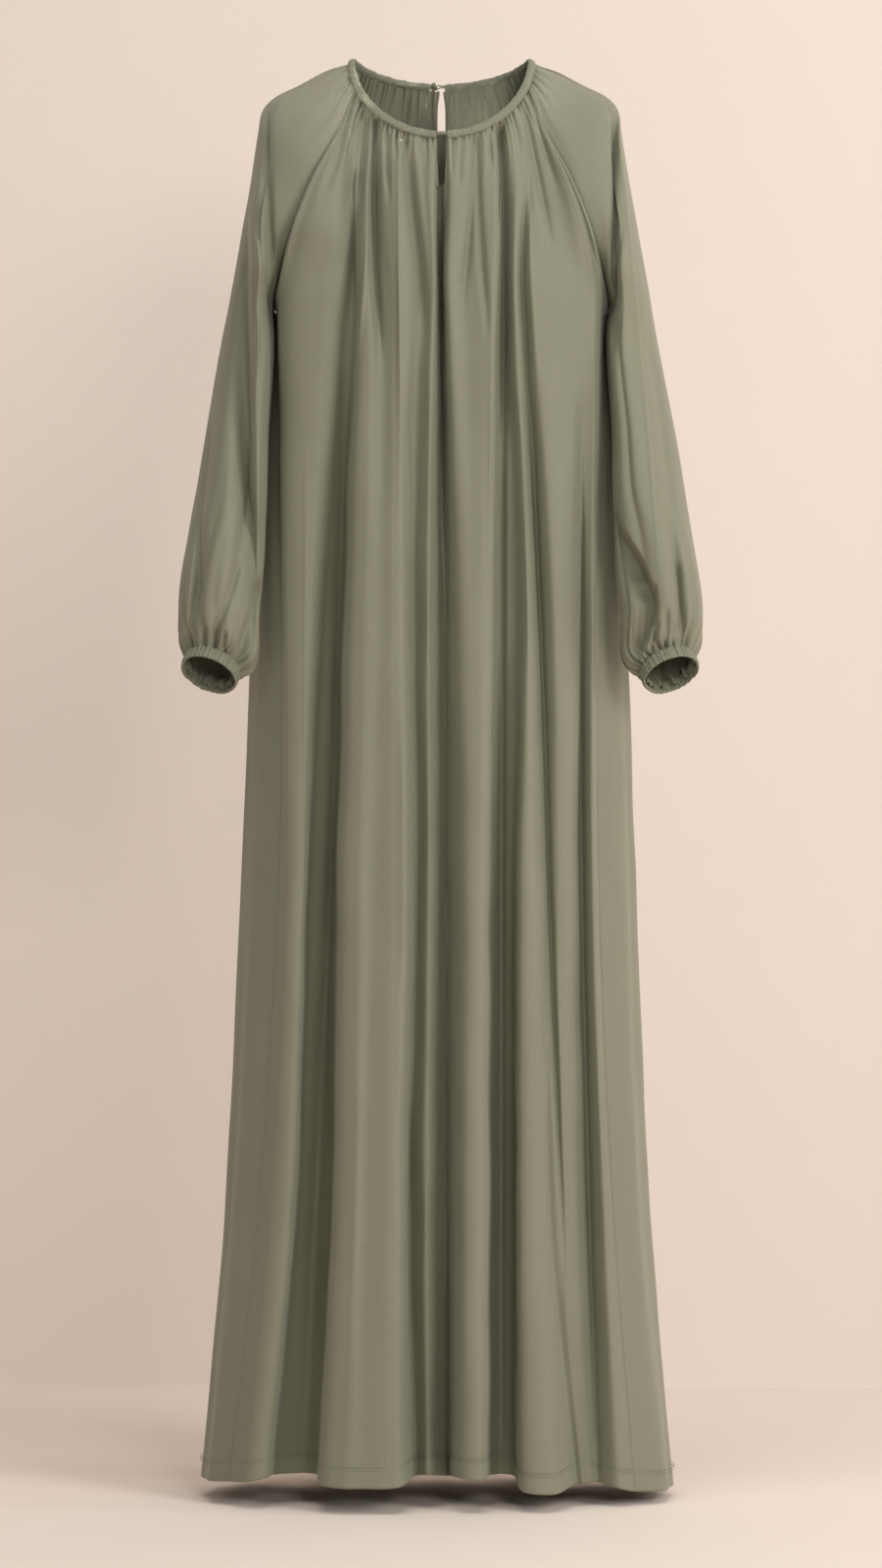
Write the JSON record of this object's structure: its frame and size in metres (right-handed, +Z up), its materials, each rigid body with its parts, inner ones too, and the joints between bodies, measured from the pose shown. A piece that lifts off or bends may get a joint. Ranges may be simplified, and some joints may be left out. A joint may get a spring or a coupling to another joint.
{
  "type": "abaya",
  "caption": "Full-length loose dress with a gathered round neck, slit and keyhole fastening, raglan balloon sleeves on elastic cuffs and a flared folded skirt, worn over the body.",
  "frame": {"origin": "middle of the shoulder line, level with the top of the neck opening at the sides, where a wearer's shoulders carry the garment", "axes": "+Z up, -Y the garment's front, +X to the right as seen from the front"},
  "size_m": [0.5308, 0.3035, 1.4547],
  "materials": {
    "crepe": "matte crepe with a soft sheen",
    "cuff_crepe": "matte crepe, drawn up on elastic",
    "binding": "matte crepe, rolled",
    "button": "cloth covered ball",
    "loop_thread": "twisted thread"
  },
  "bodies": {
    "root": {"front": "crepe", "back": "crepe", "side_left": "crepe", "side_right": "crepe", "sleeve_left": "crepe", "sleeve_right": "crepe", "cuff_left": "cuff_crepe", "cuff_right": "cuff_crepe", "neck_binding_left": "binding", "neck_binding_right": "binding", "front_bar": "binding", "back_button": "button", "back_loop": "loop_thread"}
  },
  "joints": []
}
